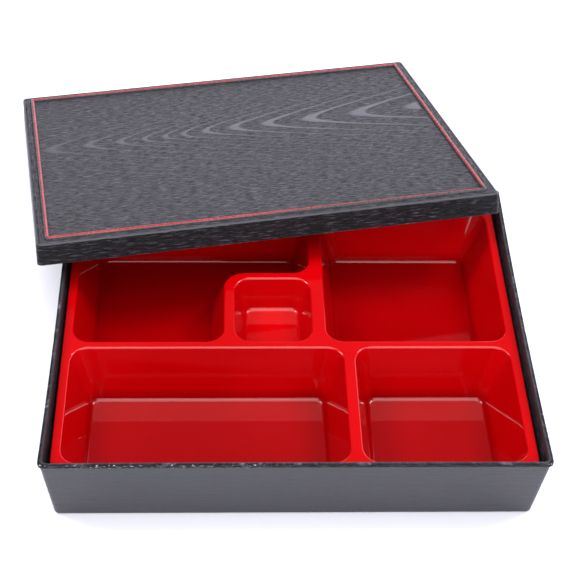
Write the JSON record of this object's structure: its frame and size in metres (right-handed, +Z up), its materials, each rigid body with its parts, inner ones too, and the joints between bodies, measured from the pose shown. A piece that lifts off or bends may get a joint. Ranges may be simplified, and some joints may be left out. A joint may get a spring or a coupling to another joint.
{
  "type": "bento lunch box",
  "caption": "Rectangular black bento box with wood-grain finish, a glossy red lift-out tray divided into compartments, and a loose lid with a raised red line.",
  "frame": {"origin": "on the surface it stands on, at the middle of the rectangle of ground that the open box and its lid take up", "axes": "+X along the length of the box, to the right seen from the front; +Y from the front of the box to the back, where the lid's back edge stands; +Z up"},
  "size_m": [0.3166, 0.4006, 0.0723],
  "materials": {
    "black_grain_plastic": "satin black ABS moulded with an embossed wood grain",
    "red_gloss_plastic": "high-gloss lacquer-red ABS",
    "red_line_paint": "red paint on a moulded bead, thin at the corners"
  },
  "bodies": {
    "box": {"outer_box": "black_grain_plastic"},
    "tray": {"partition_tray": "red_gloss_plastic"},
    "lid": {"lid": "black_grain_plastic", "lid_red_line": "red_line_paint"}
  },
  "joints": [
    {"name": "tray_lift", "type": "slide", "parent": "box", "child": "tray", "axis": [0, 0, 1], "range_m": [0, 0.06]},
    {"name": "lid_lift", "type": "slide", "parent": "tray", "child": "lid", "axis": [0, 0, 1], "range_m": [0, 0.08]}
  ]
}
